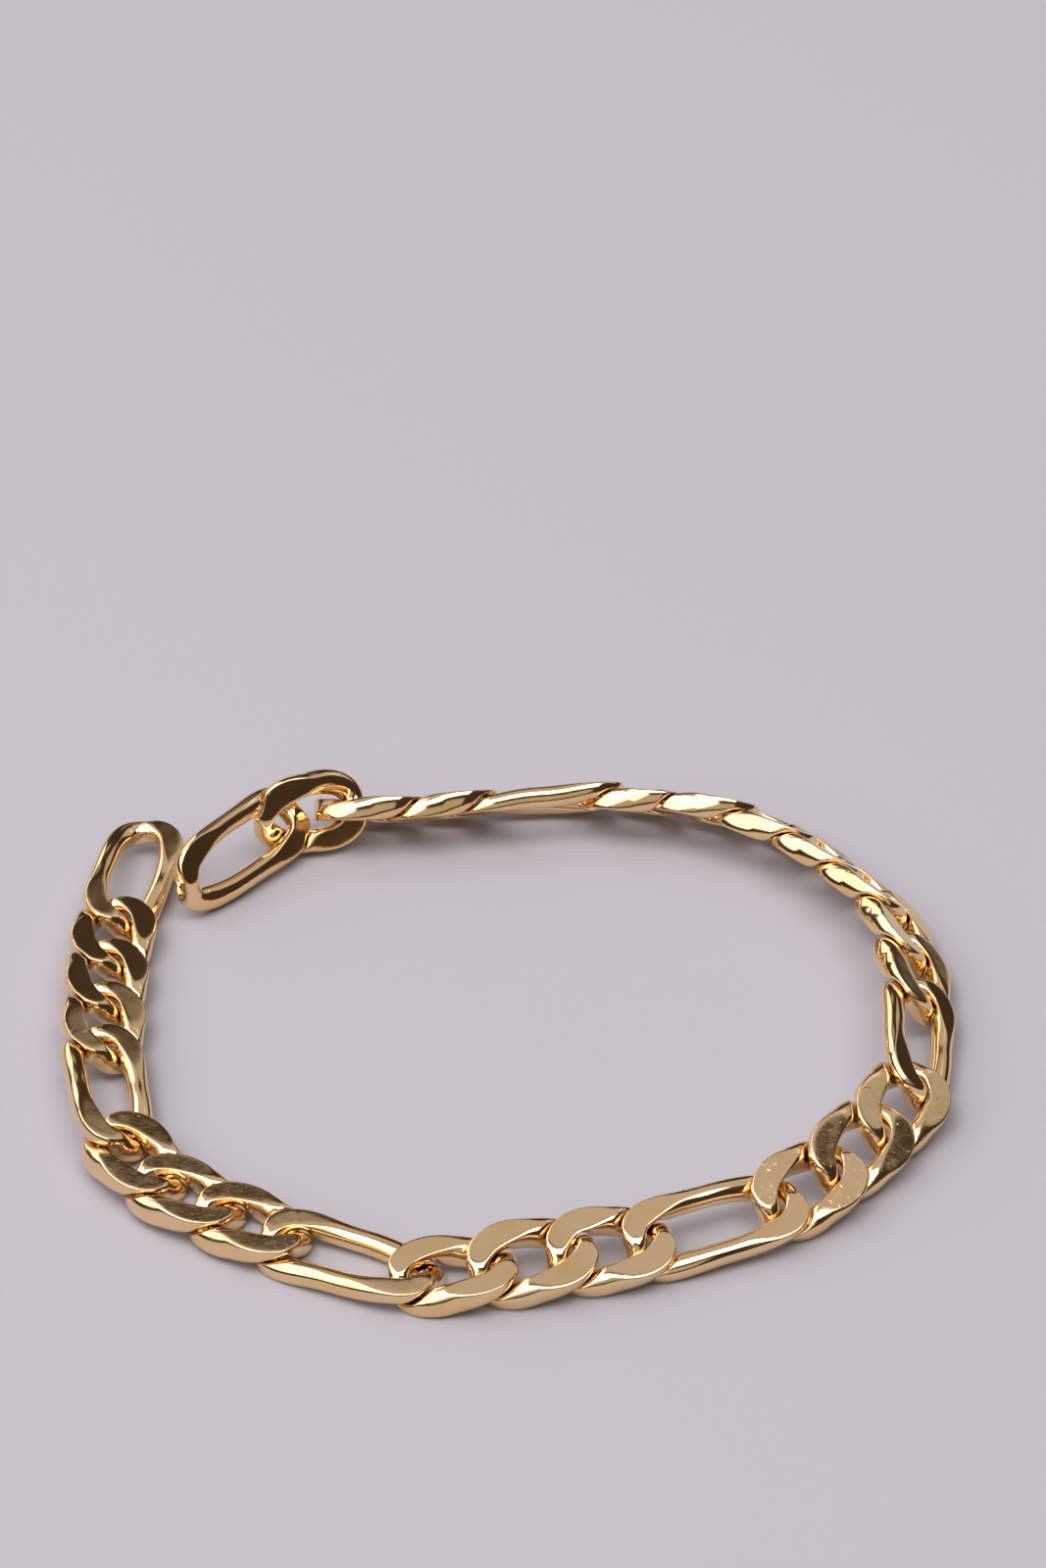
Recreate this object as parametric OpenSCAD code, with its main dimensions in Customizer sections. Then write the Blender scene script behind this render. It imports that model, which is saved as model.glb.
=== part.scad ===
// Link bracelet: a pressed curb chain in the figaro manner, with one long link
// between each run of short ones. The chain lies in a loose loop on a flat
// surface, open, with its two end links side by side.
// Millimetres, +Z up. The surface is z = 0 and the origin is the middle of
// the loop's outline on it.

/* [Pressing] */
// Thickness of a link between its two pressed faces
pressed_t = 2; // [1.9:0.05:2.1]
// How far the curb twist lifts or lowers the wire's centre at a link's corners
twist = 0.55; // [0.5:0.05:0.6]
// How much the pressing spreads the wire to each side at the corners
spread = 0.2; // [0.1:0.05:0.25]

/* [Short links] */
// Width of a short link over the wire
short_w = 6.8; // [6.6:0.05:7]
// Length of chain that one short link adds
short_pitch = 5.88; // [5.7:0.02:6]
// Squareness of a short link's corners: 2 is an oval, 4 nearly a rectangle
short_sq = 2.3; // [2.1:0.1:2.8]
// Half width of the wire along a side
short_side = 0.96; // [0.9:0.01:1]
// Half height of the wire along a side, before it is pressed
short_high = 1.2; // [1.1:0.05:1.25]

/* [Long links] */
// Width of a long link over the wire
long_w = 6.6; // [6.4:0.05:6.9]
// Length of chain that one long link adds
long_pitch = 10.6; // [10:0.1:11.5]
// Squareness of a long link's corners: 2 is an oval, 4 nearly a rectangle
long_sq = 3.2; // [2.6:0.1:3.6]
// Half width of the wire along a side
long_side = 0.86; // [0.8:0.01:0.95]
// Half height of the wire along a side, before it is pressed
long_high = 0.92; // [0.85:0.01:0.98]

/* [Chain] */
// Half width of the wire at the middle of a link's end
cap = 0.85; // [0.8:0.05:0.95]
// Free play between two linked ends
play = 0.35; // [0.3:0.05:0.5]
// Gap kept all round between a link and the next one
seat = 0.14; // [0.12:0.02:0.2]
// How much closer than taut the second link lies to the third
slack = 1.2; // [0.8:0.1:1.4]

/* [Detail] */
// Stations along the wire of a short link
short_n = 32; // [28:4:40]
// Stations along the wire of a long link
long_n = 44; // [36:4:52]
// Sides of the wire's section
sides = 12; // [12:4:16]

/* [Hidden] */

// How the chain lies, one row a link from the free end.
// Columns: link size, heading of the link in plan, bank about its own length
// (0 is flat, negative has the loop's outer edge down). All in degrees.
LIE = [
    ["long",    51, -120],
    ["short",   20, -112],
    ["short",    4,  -39],
    ["short",    8,  -39],
    ["long",     6,  -42],
    ["short",  -10,  -37],
    ["short",  -18,  -42],
    ["short",  -35,  -37],
    ["short",  -52,  -39],
    ["short",  -57,  -42],
    ["short",  -76,  -42],
    ["short",  -87,  -39],
    ["long",   -95,  -39],
    ["short", -121,  -31],
    ["short", -129,  -30],
    ["short", -138,  -22],
    ["long",  -157,  -20],
    ["short", -167,  -18],
    ["short", -167,  -16],
    ["short", -176,   -3],
    ["long",  -203,    0],
    ["short", -210,    3],
    ["short", -215,    5],
    ["short", -235,    7],
    ["long",  -259,   20],
    ["short", -267,   20],
    ["short", -268,   18],
    ["short", -273,   14],
    ["long",  -279,   16]
];

count = len(LIE);
half_t = pressed_t / 2;
// the section's corners stand this much outside its curve, its flats inside
swell = 1.03;
gold = [0.86, 0.72, 0.45];

function unit(v) = v / norm(v);
function is_long(i) = LIE[i][0] == "long";
function pitch(i) = is_long(i) ? long_pitch : short_pitch;

// ---- one link, about its own centre, its length along X -------------------
// The wire's centre follows a squared oval. The twist raises two opposite
// corners and lowers the other two, so the next link can pass through. In the
// long links the twist comes only near the ends.
function half_len(long) = ((long ? long_pitch : short_pitch) + play) / 2 + cap;
function side(long) = long ? long_side : short_side;
function half_wid(long) = (long ? long_w : short_w) / 2 - side(long);
function squared(c, q) = sign(c) * pow(abs(c), 2 / q);
function ramp(v, reach, rise) = sign(v) * sin(90 * pow(min(1, abs(v) / reach), rise));
// one station: centre, half width, half height and squareness of the section
function wire_at(k, n, long) =
    let (t = 360 * (k + 0.5) / n,
         q = long ? long_sq : short_sq,
         x = half_len(long) * squared(cos(t), q),
         y = half_wid(long) * squared(sin(t), q),
         lift = -ramp(x, long ? 5.4 : 3.2, long ? 2 : 1) * ramp(y, 1.6, 1),
         along = pow(y / half_wid(long), 2))
    [[x, y, twist * lift],
     cap + (side(long) - cap) * along + spread * abs(lift),
     0.97 + ((long ? long_high : short_high) - 0.97) * along,
     2.2 + (long ? 0 : 0.2) * along];
function stations(long) = long ? long_n : short_n;
function wire(long, n) = [for (k = [0:n - 1]) wire_at(k, n, long)];
function reach_of(st, a) =
    pow(pow(abs(cos(a)) / st[1], st[3]) + pow(abs(sin(a)) / st[2], st[3]), -1 / st[3]);

short_wire = wire(false, short_n);
long_wire = wire(true, long_n);
function wire_of(i) = is_long(i) ? long_wire : short_wire;
// the same centre line in finer steps, to keep clear of
short_line = [for (st = wire(false, 96)) st[0]];
long_line = [for (st = wire(true, 128)) st[0]];
function line_of(i) = is_long(i) ? long_line : short_line;

// directions of the section's corners at station k
function spokes(w, k) =
    let (n = len(w),
         run = unit(w[(k + 1) % n][0] - w[(k + n - 1) % n][0]),
         out = unit(cross(run, [0, 0, 1])),
         up = cross(out, run))
    [for (s = [0:sides - 1])
        let (a = 360 * (s + 0.5) / sides) cos(a) * out + sin(a) * up];
// corners of the section at station k of the round wire
function section(w, k) =
    let (e = spokes(w, k))
    [for (s = [0:sides - 1])
        w[k][0] + swell * reach_of(w[k], 360 * (s + 0.5) / sides) * e[s]];
function skin(w) = [for (k = [0:len(w) - 1]) each section(w, k)];
short_skin = skin(short_wire);
long_skin = skin(long_wire);

// corners of the pressed link: the skin's own corners between the two faces,
// and the points where the skin's edges meet a face
function meet(p, q, z) = p + (q - p) * (z - p[2]) / (q[2] - p[2]);
function pressed(s) =
    let (n = len(s) / sides)
    [for (k = [0:n - 1], j = [0:sides - 1])
        let (k2 = (k + 1) % n,
             p = s[k * sides + j],
             ends = [s[k * sides + (j + 1) % sides],
                     s[k2 * sides + j],
                     s[k2 * sides + (j + sides - 1) % sides]])
        each concat(
            abs(p[2]) <= half_t ? [p] : [],
            [for (q = ends, z = [-half_t, half_t])
                if ((p[2] - z) * (q[2] - z) < 0) meet(p, q, z)])];
short_corners = pressed(short_skin);
long_corners = pressed(long_skin);
function corners(i) = is_long(i) ? long_corners : short_corners;

// ---- where each link lies -------------------------------------------------
// A link's axes from its heading, the tip of its leading end and its bank
function axes(head, tip, bank) =
    let (u = [cos(head) * cos(tip), sin(head) * cos(tip), sin(tip)],
         side = [-sin(head), cos(head), 0],
         lift = cross(u, side))
    [u, side * cos(bank) + lift * sin(bank), lift * cos(bank) - side * sin(bank)];
// How high a link's centre lies when its lowest point touches the surface
function rest_height(i, tip) =
    let (a = axes(0, tip, LIE[i][2]))
    -min([for (p = corners(i)) p[0] * a[0][2] + p[1] * a[1][2] + p[2] * a[2][2]]);
level = [for (i = [0:count - 1]) rest_height(i, 0)];
function joint_level(i) =
    i == 0 ? level[0] : i == count ? level[count - 1] : (level[i - 1] + level[i]) / 2;
tips = [for (i = [0:count - 1]) asin((joint_level(i + 1) - joint_level(i)) / pitch(i))];
steps = [for (i = [0:count - 1])
    (pitch(i) - (i == 1 ? slack : 0)) * cos(tips[i]) * [cos(LIE[i][1]), sin(LIE[i][1]), 0]];
// joints between the links, seen from above
joints = [for (i = 0, j = [0, 0, 0]; i <= count; j = i < count ? j + steps[i] : j, i = i + 1) j];
spots = [for (i = [0:count - 1])
    (joints[i] + joints[i + 1]) / 2 + [0, 0, rest_height(i, tips[i])]];

// middle of the outline, from the corners of all the links
function placed(i) =
    let (a = axes(LIE[i][1], tips[i], LIE[i][2]))
    [for (p = corners(i)) spots[i] + p[0] * a[0] + p[1] * a[1] + p[2] * a[2]];
all_x = [for (i = [0:count - 1]) each [for (p = placed(i)) p[0]]];
all_y = [for (i = [0:count - 1]) each [for (p = placed(i)) p[1]]];
middle = [(min(all_x) + max(all_x)) / 2, (min(all_y) + max(all_y)) / 2, 0];

// ---- how neighbours press into each other ---------------------------------
// The line of link j's wire seen from link i
function line_seen(i, j) =
    let (a = axes(LIE[i][1], tips[i], LIE[i][2]),
         b = axes(LIE[j][1], tips[j], LIE[j][2]))
    [for (p = line_of(j))
        let (d = spots[j] + p[0] * b[0] + p[1] * b[1] + p[2] * b[2] - spots[i])
        [d * a[0], d * a[1], d * a[2]]];
function seen(i) = [for (j = [i - 1, i + 1]) if (j >= 0 && j < count) each line_seen(i, j)];
// A section reaches no farther than halfway to the next link's wire, less
// half the gap
function seated_section(w, k, others) =
    let (c = w[k][0],
         e = spokes(w, k),
         near = [for (q = others)
            let (d = c - q) if (d * d < 16) [d, d * d - seat * seat]])
    [for (s = [0:sides - 1])
        c + e[s] * min(concat(
            [swell * reach_of(w[k], 360 * (s + 0.5) / sides)],
            [for (m = near)
                let (g = seat - e[s] * m[0]) if (g > 0.0001) max(0.1, m[1] / (2 * g))]))];
function seated_skin(i) =
    let (w = wire_of(i), others = seen(i))
    [for (k = [0:len(w) - 1]) each seated_section(w, k, others)];

// ---- solids ---------------------------------------------------------------
module bent_wire(path_skin) {
    n = len(path_skin) / sides;
    polyhedron(
        points = path_skin,
        faces = [for (k = [0:n - 1], s = [0:sides - 1])
            let (k2 = (k + 1) % n, s2 = (s + 1) % sides)
            each [
                [k * sides + s, k * sides + s2, k2 * sides + s],
                [k * sides + s2, k2 * sides + s2, k2 * sides + s]
            ]],
        convexity = 6);
}

// A link is its bent wire, seated against its neighbours and pressed flat on
// both sides
module pressed_link(i) {
    intersection() {
        bent_wire(seated_skin(i));
        cube([40, 40, pressed_t], center = true);
    }
}

module link(i) {
    a = axes(LIE[i][1], tips[i], LIE[i][2]);
    c = spots[i] - middle;
    color(gold)
        multmatrix([
            [a[0][0], a[1][0], a[2][0], c[0]],
            [a[0][1], a[1][1], a[2][1], c[1]],
            [a[0][2], a[1][2], a[2][2], c[2]],
            [0, 0, 0, 1]])
            pressed_link(i);
}

module long_link_00() link(0);
module short_link_01() link(1);
module short_link_02() link(2);
module short_link_03() link(3);
module long_link_04() link(4);
module short_link_05() link(5);
module short_link_06() link(6);
module short_link_07() link(7);
module short_link_08() link(8);
module short_link_09() link(9);
module short_link_10() link(10);
module short_link_11() link(11);
module long_link_12() link(12);
module short_link_13() link(13);
module short_link_14() link(14);
module short_link_15() link(15);
module long_link_16() link(16);
module short_link_17() link(17);
module short_link_18() link(18);
module short_link_19() link(19);
module long_link_20() link(20);
module short_link_21() link(21);
module short_link_22() link(22);
module short_link_23() link(23);
module long_link_24() link(24);
module short_link_25() link(25);
module short_link_26() link(26);
module short_link_27() link(27);
module long_link_28() link(28);

long_link_00();
short_link_01();
short_link_02();
short_link_03();
long_link_04();
short_link_05();
short_link_06();
short_link_07();
short_link_08();
short_link_09();
short_link_10();
short_link_11();
long_link_12();
short_link_13();
short_link_14();
short_link_15();
long_link_16();
short_link_17();
short_link_18();
short_link_19();
long_link_20();
short_link_21();
short_link_22();
short_link_23();
long_link_24();
short_link_25();
short_link_26();
short_link_27();
long_link_28();
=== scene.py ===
import math
import bpy
import numpy as np
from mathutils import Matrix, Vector


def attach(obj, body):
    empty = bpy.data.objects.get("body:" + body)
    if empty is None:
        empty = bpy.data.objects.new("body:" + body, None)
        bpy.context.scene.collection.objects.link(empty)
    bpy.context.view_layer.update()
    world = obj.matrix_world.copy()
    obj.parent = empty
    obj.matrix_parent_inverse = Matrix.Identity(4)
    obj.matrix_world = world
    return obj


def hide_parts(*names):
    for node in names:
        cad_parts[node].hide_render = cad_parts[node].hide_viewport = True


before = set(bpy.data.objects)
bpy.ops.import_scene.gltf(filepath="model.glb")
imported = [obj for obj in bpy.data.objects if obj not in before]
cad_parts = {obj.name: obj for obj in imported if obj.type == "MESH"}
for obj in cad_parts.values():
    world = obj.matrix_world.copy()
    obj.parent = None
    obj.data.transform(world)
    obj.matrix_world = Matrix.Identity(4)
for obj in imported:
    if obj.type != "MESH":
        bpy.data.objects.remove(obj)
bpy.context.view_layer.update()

# ---------------------------------------------------------------- sizes, mm
THICK = 2.0         # between the two pressed faces
TWIST = 0.55        # lift of the wire's centre at a link's corners
SHORT = dict(width=6.8, pitch=5.88, sq=2.3, reach=3.2, rise=1.0, side=0.96, high=1.20, square=2.4, cad_n=32, n=120)
LONG = dict(width=6.6, pitch=10.6, sq=3.2, reach=5.4, rise=2.0, side=0.86, high=0.92, square=2.2, cad_n=44, n=168)
CAP = 0.85          # half width of the wire at the middle of an end
CORNER = 0.20       # how much the pressing spreads the wire at the corners
PLAY = 0.35         # between two linked ends
SEAT = 0.14         # kept clear between a link and the next one all round
CAD_SIDES = 12
CAD_SWELL = 1.03
LOOSE = {1: 1.2}     # how much closer than taut a link lies to the next

# how the chain lies: link size, heading and bank in degrees
LIE = [
    ("long", 51, -120), ("short", 20, -112), ("short", 4, -39), ("short", 8, -39),
    ("long", 6, -42), ("short", -10, -37), ("short", -18, -42), ("short", -35, -37),
    ("short", -52, -39), ("short", -57, -42), ("short", -76, -42), ("short", -87, -39),
    ("long", -95, -39), ("short", -121, -31), ("short", -129, -30), ("short", -138, -22),
    ("long", -157, -20), ("short", -167, -18), ("short", -167, -16), ("short", -176, -3),
    ("long", -203, 0), ("short", -210, 3), ("short", -215, 5), ("short", -235, 7),
    ("long", -259, 20), ("short", -267, 20), ("short", -268, 18), ("short", -273, 14),
    ("long", -279, 16),
]
KIND = {"short": SHORT, "long": LONG}
HALF_T = THICK / 2


def path(kind, n, even=False):
    """Centre of the wire and the wire's shape in n stations round a link, about its centre.
    Columns: x, y, z, half width, half height, squareness."""
    half_len = (kind["pitch"] + PLAY) / 2 + CAP
    half_wid = kind["width"] / 2 - kind["side"]

    def at(t):
        c, s = np.cos(t), np.sin(t)
        x = half_len * np.sign(c) * np.abs(c) ** (2 / kind["sq"])
        y = half_wid * np.sign(s) * np.abs(s) ** (2 / kind["sq"])
        ramp = lambda v, reach, rise: np.sign(v) * np.sin(math.pi / 2 * np.minimum(1, np.abs(v) / reach) ** rise)
        z = -TWIST * ramp(x, kind["reach"], kind["rise"]) * ramp(y, 1.6, 1)
        v2 = (y / half_wid) ** 2
        return np.stack([x, y, z, CAP + (kind["side"] - CAP) * v2 + CORNER * np.abs(z) / TWIST,
                         0.97 + (kind["high"] - 0.97) * v2, 2.2 + (kind["square"] - 2.2) * v2], 1)

    if not even:
        return at(2 * math.pi * (np.arange(n) + 0.5) / n)
    fine = at(2 * math.pi * np.arange(20001) / 20000)
    far = np.concatenate([[0], np.cumsum(np.linalg.norm(np.diff(fine[:, :3], axis=0), axis=1))])
    t = (np.arange(n) + 0.5) / n * far[-1]
    return np.stack([np.interp(t, far, fine[:, k]) for k in range(6)], 1)


def across(p):
    """Outward and upward directions of the section at each station."""
    run = np.roll(p[:, :3], -1, 0) - np.roll(p[:, :3], 1, 0)
    run /= np.linalg.norm(run, axis=1)[:, None]
    out = np.cross(run, [0, 0, 1])
    out /= np.linalg.norm(out, axis=1)[:, None]
    return out, np.cross(out, run)


def reach_of(p, a):
    """Distance from the centre to the wire's skin in the directions a, for every station."""
    c, s = np.abs(np.cos(a))[None], np.abs(np.sin(a))[None]
    m = p[:, 5:6]
    return ((c / p[:, 3:4]) ** m + (s / p[:, 4:5]) ** m) ** (-1 / m)


def cad_corners(kind):
    """Corners of the CAD link: its skin between the faces and the cuts in its edges."""
    n, m = kind["cad_n"], CAD_SIDES
    p = path(kind, n)
    out, up = across(p)
    a = 2 * math.pi * (np.arange(m) + 0.5) / m
    r = CAD_SWELL * reach_of(p, a)
    v = p[:, None, :3] + r[..., None] * (np.cos(a)[None, :, None] * out[:, None] + np.sin(a)[None, :, None] * up[:, None])
    pts = [v[np.abs(v[..., 2]) <= HALF_T]]
    for other in (np.roll(v, -1, 1), np.roll(v, -1, 0), np.roll(np.roll(v, -1, 0), 1, 1)):
        for z in (-HALF_T, HALF_T):
            hit = (v[..., 2] - z) * (other[..., 2] - z) < 0
            a0, b0 = v[hit], other[hit]
            pts.append(a0 + (b0 - a0) * ((z - a0[:, 2]) / (b0[:, 2] - a0[:, 2]))[:, None])
    return np.concatenate(pts)


def axes(head, tip, bank):
    h, e, b = map(math.radians, (head, tip, bank))
    u = np.array([math.cos(h) * math.cos(e), math.sin(h) * math.cos(e), math.sin(e)])
    side = np.array([-math.sin(h), math.cos(h), 0])
    lift = np.cross(u, side)
    return np.stack([u, side * math.cos(b) + lift * math.sin(b), lift * math.cos(b) - side * math.sin(b)], 1)


corners = {k: cad_corners(KIND[k]) for k in KIND}
count = len(LIE)


def rest(i, tip):
    return -(corners[LIE[i][0]] @ axes(0, tip, LIE[i][2]).T)[:, 2].min()


level = [rest(i, 0) for i in range(count)]
joint_z = [level[0]] + [(level[i - 1] + level[i]) / 2 for i in range(1, count)] + [level[-1]]
tips = [math.degrees(math.asin((joint_z[i + 1] - joint_z[i]) / KIND[LIE[i][0]]["pitch"])) for i in range(count)]
joints = [np.zeros(2)]
for i in range(count):
    h = math.radians(LIE[i][1])
    step = (KIND[LIE[i][0]]["pitch"] - LOOSE.get(i, 0)) * math.cos(math.radians(tips[i]))
    joints.append(joints[-1] + step * np.array([math.cos(h), math.sin(h)]))
spots = [np.array([*(joints[i] + joints[i + 1]) / 2, rest(i, tips[i])]) for i in range(count)]
turns = [axes(LIE[i][1], tips[i], LIE[i][2]) for i in range(count)]
everything = np.concatenate([corners[LIE[i][0]] @ turns[i].T + spots[i] for i in range(count)])
middle = (everything.min(0) + everything.max(0)) / 2
middle[2] = 0

# ---------------------------------------------------------------- link mesh
FINE, POINTS = 240, 60
ANGLES = 2 * math.pi * np.arange(FINE) / FINE
LINE = {k: path(KIND[k], KIND[k]["n"], even=True) for k in KIND}


def seat_limit(c, e, others):
    """How far from the centres c the directions e may go before they come nearer to another
    wire's centre than to their own, the seat kept clear."""
    lim = np.full(e.shape[:2], 9.0)
    for q in others:
        w = c[:, None] - q[None]
        ww = (w * w).sum(-1)
        near = ww.min(1) < 16
        for k in np.nonzero(near)[0]:
            pick = ww[k] < 16
            g = SEAT - e[k] @ w[k, pick].T
            r = (ww[k, pick][None] - SEAT ** 2) / (2 * np.where(g > 1e-6, g, 1e-6))
            lim[k] = np.minimum(lim[k], np.maximum(r.min(1), 0.1))
    return lim


def soft_least(terms, n):
    return sum(t ** -n for t in terms) ** (-1 / n)


def link_mesh(i):
    kind = LIE[i][0]
    p = LINE[kind]
    out, up = across(p)
    c = p[:, :3]
    e = np.cos(ANGLES)[None, :, None] * out[:, None] + np.sin(ANGLES)[None, :, None] * up[:, None]
    skin = reach_of(p, ANGLES) - 0.02
    ez = e[..., 2]
    top = np.where(ez > 1e-3, (HALF_T - c[:, 2:3]) / np.maximum(ez, 1e-3), 9.0)
    low = np.where(ez < -1e-3, (HALF_T + c[:, 2:3]) / np.maximum(-ez, 1e-3), 9.0)
    others = []
    for j in (i - 1, i + 1):
        if 0 <= j < count:
            world = LINE[LIE[j][0]][:, :3] @ turns[j].T + spots[j]
            others.append((world - spots[i]) @ turns[i])
    lim = seat_limit(c, e, others)
    r = soft_least([np.minimum(skin, 9), np.minimum(top, 9), np.minimum(low, 9)], 18)
    r = soft_least([r, lim], 11)
    v = c[:, None] + r[..., None] * e
    # points crowd where the section turns sharply
    seg = np.linalg.norm(np.roll(v, -1, 1) - v, axis=2)
    d = (np.roll(v, -1, 1) - v) / seg[..., None]
    turn = np.arccos(np.clip((d * np.roll(d, 1, 1)).sum(-1), -1, 1))
    turn = (turn + np.roll(turn, -1, 1)) / 2
    w = seg / seg.sum(1)[:, None] + 1.4 * turn / turn.sum(1)[:, None]
    rings = []
    for k in range(len(c)):
        far = np.concatenate([[0], np.cumsum(w[k])])
        t = np.arange(POINTS) / POINTS * far[-1]
        ring = np.concatenate([v[k], v[k, :1]])
        rings.append(np.stack([np.interp(t, far, ring[:, j]) for j in range(3)], 1))
    v = np.array(rings)
    n, m = v.shape[:2]
    faces = []
    for k in range(n):
        k2 = (k + 1) % n
        for s in range(m):
            s2 = (s + 1) % m
            faces.append((k * m + s, k2 * m + s, k2 * m + s2, k * m + s2))
    return v.reshape(-1, 3), faces, float(r.min())


# ---------------------------------------------------------------- materials
def gold(name, scratch=0.3, pits=0.2, tint=(0.97, 0.70, 0.40)):
    mat = bpy.data.materials.new(name)
    mat.use_nodes = True
    nt = mat.node_tree
    nodes, links = nt.nodes, nt.links
    nodes.clear()
    out = nodes.new("ShaderNodeOutputMaterial")
    bsdf = nodes.new("ShaderNodeBsdfPrincipled")
    bsdf.inputs["Metallic"].default_value = 1.0
    links.new(bsdf.outputs[0], out.inputs[0])
    tc = nodes.new("ShaderNodeTexCoord")

    def noise(scale, detail=2.0, rough=0.5, stretch=None):
        src = tc.outputs["Object"]
        if stretch:
            mp = nodes.new("ShaderNodeMapping")
            mp.inputs["Scale"].default_value = stretch
            mp.inputs["Rotation"].default_value = (0.3, 0.5, 0.9)
            links.new(src, mp.inputs[0])
            src = mp.outputs[0]
        n = nodes.new("ShaderNodeTexNoise")
        n.inputs["Scale"].default_value = scale
        n.inputs["Detail"].default_value = detail
        n.inputs["Roughness"].default_value = rough
        links.new(src, n.inputs["Vector"])
        return n.outputs["Fac"]

    def ramp(src, lo, hi, a=0.0, b=1.0):
        r = nodes.new("ShaderNodeMapRange")
        r.inputs["From Min"].default_value = lo
        r.inputs["From Max"].default_value = hi
        r.inputs["To Min"].default_value = a
        r.inputs["To Max"].default_value = b
        links.new(src, r.inputs["Value"])
        return r.outputs[0]

    # plating: a little warmer and paler in slow drifts
    mix = nodes.new("ShaderNodeMix")
    mix.data_type = "RGBA"
    mix.inputs[6].default_value = (*tint, 1)
    mix.inputs[7].default_value = (tint[0] * 0.97, tint[1] * 0.94, tint[2] * 0.80, 1)
    links.new(ramp(noise(260, 3), 0.42, 0.64), mix.inputs[0])
    links.new(mix.outputs[2], bsdf.inputs["Base Color"])
    # polish: bright, with fine worn and hazy patches
    worn = ramp(noise(900, 4, 0.6), 0.45, 0.72, 0.10, 0.10 + 0.14 * scratch)
    links.new(worn, bsdf.inputs["Roughness"])
    # fine lapping scratches, a slow ripple of the pressed metal, and pits
    lines = ramp(noise(1500, 2, 0.5, (1, 9, 1)), 0.48, 0.66)
    ripple = noise(420, 1, 0.4)
    b1 = nodes.new("ShaderNodeBump")
    b1.inputs["Strength"].default_value = 0.025
    b1.inputs["Distance"].default_value = 0.0006
    links.new(ripple, b1.inputs["Height"])
    b2 = nodes.new("ShaderNodeBump")
    b2.inputs["Strength"].default_value = 0.06 * scratch
    b2.inputs["Distance"].default_value = 0.00004
    links.new(lines, b2.inputs["Height"])
    links.new(b1.outputs[0], b2.inputs["Normal"])
    pit = ramp(noise(2600, 2, 0.5), 0.66, 0.76)
    b3 = nodes.new("ShaderNodeBump")
    b3.invert = True
    b3.inputs["Strength"].default_value = 0.35 * pits
    b3.inputs["Distance"].default_value = 0.00005
    links.new(pit, b3.inputs["Height"])
    links.new(b2.outputs[0], b3.inputs["Normal"])
    links.new(b3.outputs[0], bsdf.inputs["Normal"])
    return mat


SMOOTH = gold("gold_polished", 0.25, 0.1)
RUBBED = gold("gold_rubbed", 0.9, 0.8)
rubbed = {13, 14, 15, 21, 22, 23}

# ---------------------------------------------------------------- the chain
for i, (kind, head, bank) in enumerate(LIE):
    node = f"{kind}_link_{i:02d}"
    v, faces, _ = link_mesh(i)
    place = (v @ turns[i].T + spots[i] - middle) / 1000
    me = bpy.data.meshes.new(f"gold_{node}")
    me.from_pydata(place.tolist(), [], faces)
    me.polygons.foreach_set("use_smooth", [True] * len(faces))
    me.update()
    ob = bpy.data.objects.new(f"gold_{node}", me)
    bpy.context.scene.collection.objects.link(ob)
    me.materials.append(RUBBED if i in rubbed else SMOOTH)
    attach(ob, "root")
    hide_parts(node)

# ---------------------------------------------------------------- the stage
floor_mat = bpy.data.materials.new("floor_pale")
floor_mat.use_nodes = True
fb = floor_mat.node_tree.nodes["Principled BSDF"]
fb.inputs["Base Color"].default_value = (0.43, 0.402, 0.43, 1)
fb.inputs["Roughness"].default_value = 0.9
fb.inputs["Specular IOR Level"].default_value = 0.15
me = bpy.data.meshes.new("floor")
S = 4.0
me.from_pydata([(-S, -S, 0), (S, -S, 0), (S, S, 0), (-S, S, 0)], [], [(0, 1, 2, 3)])
me.materials.append(floor_mat)
floor = bpy.data.objects.new("floor", me)
floor.location.z = -0.00002
bpy.context.scene.collection.objects.link(floor)


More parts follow.
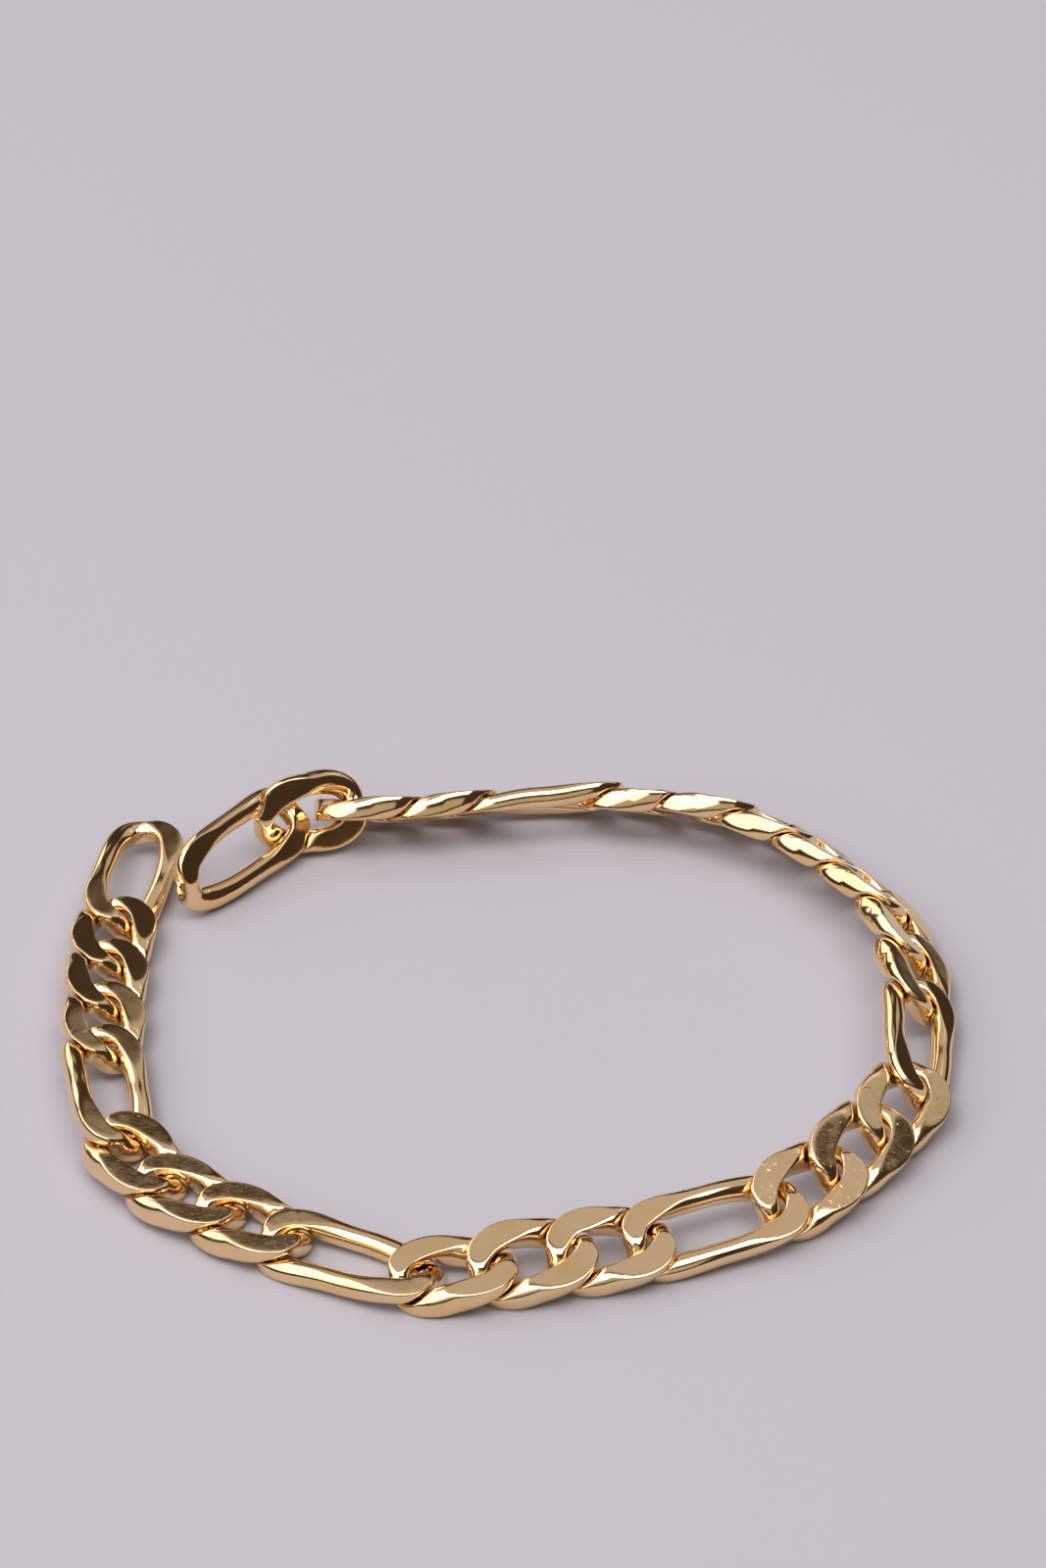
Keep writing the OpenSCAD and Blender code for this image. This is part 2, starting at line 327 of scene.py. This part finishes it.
def softbox(name, az, el, dist, w, h, watts, color=(1, 1, 1)):
    """A rectangular soft light. az 0 is behind the loop (+Y), 90 is to its right."""
    a, e = math.radians(az), math.radians(el)
    at = Vector((math.sin(a) * math.cos(e), math.cos(a) * math.cos(e), math.sin(e))) * dist
    li = bpy.data.lights.new(name, "AREA")
    li.shape = "RECTANGLE"
    li.size, li.size_y = w, h
    li.energy = watts
    li.color = color
    ob = bpy.data.objects.new(name, li)
    ob.location = at
    ob.rotation_euler = at.to_track_quat("Z", "Y").to_euler()
    ob.visible_camera = False
    bpy.context.scene.collection.objects.link(ob)
    return ob


def panel(name, az, el, dist, half_az, half_el, bright, color=(1, 1, 1)):
    """A soft light given by the angles it spans and its brightness."""
    w = 2 * dist * math.tan(math.radians(half_az))
    h = 2 * dist * math.tan(math.radians(half_el))
    return softbox(name, az, el, dist, w, h, bright * math.pi * w * h, color)


panel("key_top", 180, 78, 1.6, 32, 16, 3.6)
panel("back_high", 10, 61, 1.9, 36, 19, 0.46, (1, 0.97, 1.0))
panel("back_low", -6, 28, 2.3, 8.5, 3.2, 0.34, (1, 0.95, 0.9))
panel("right_side", 44, 31, 2.0, 20, 12, 0.42)
panel("front_low", 180, 30, 2.2, 28, 16, 0.42, (1, 0.95, 0.88))
panel("left_window", -100, 48, 1.6, 44, 28, 1.8, (0.96, 0.98, 1.05))
panel("back_left", -34, 20, 2.1, 14, 13, 1.5)

world = bpy.data.worlds.new("studio")
bpy.context.scene.world = world
world.use_nodes = True
bg = world.node_tree.nodes["Background"]
bg.inputs[0].default_value = (0.50, 0.37, 0.26, 1)
bg.inputs[1].default_value = 0.09

# ---------------------------------------------------------------- camera
TAU, DIST, FOCAL = 35.23, 367.5, 4375.9
AIM = (1.14, 35.35)
YAW = -0.3
cam = bpy.data.cameras.new("camera")
cam.sensor_fit = "AUTO"
cam.sensor_width = 36.0
cam.lens = 36.0 * FOCAL / 1600
cam.clip_start, cam.clip_end = 0.01, 20
cob = bpy.data.objects.new("camera", cam)
t, y = math.radians(TAU), math.radians(-YAW)
back = np.array([0, -math.cos(t), math.sin(t)]) * DIST
back = np.array([back[0] * math.cos(y) - back[1] * math.sin(y), back[0] * math.sin(y) + back[1] * math.cos(y), back[2]])
cob.location = Vector((AIM[0] + back[0], AIM[1] + back[1], back[2])) / 1000
cob.rotation_euler = (math.pi / 2 - t, 0, y)
bpy.context.scene.collection.objects.link(cob)
bpy.context.scene.camera = cob
bpy.context.scene.view_settings.view_transform = "Standard"
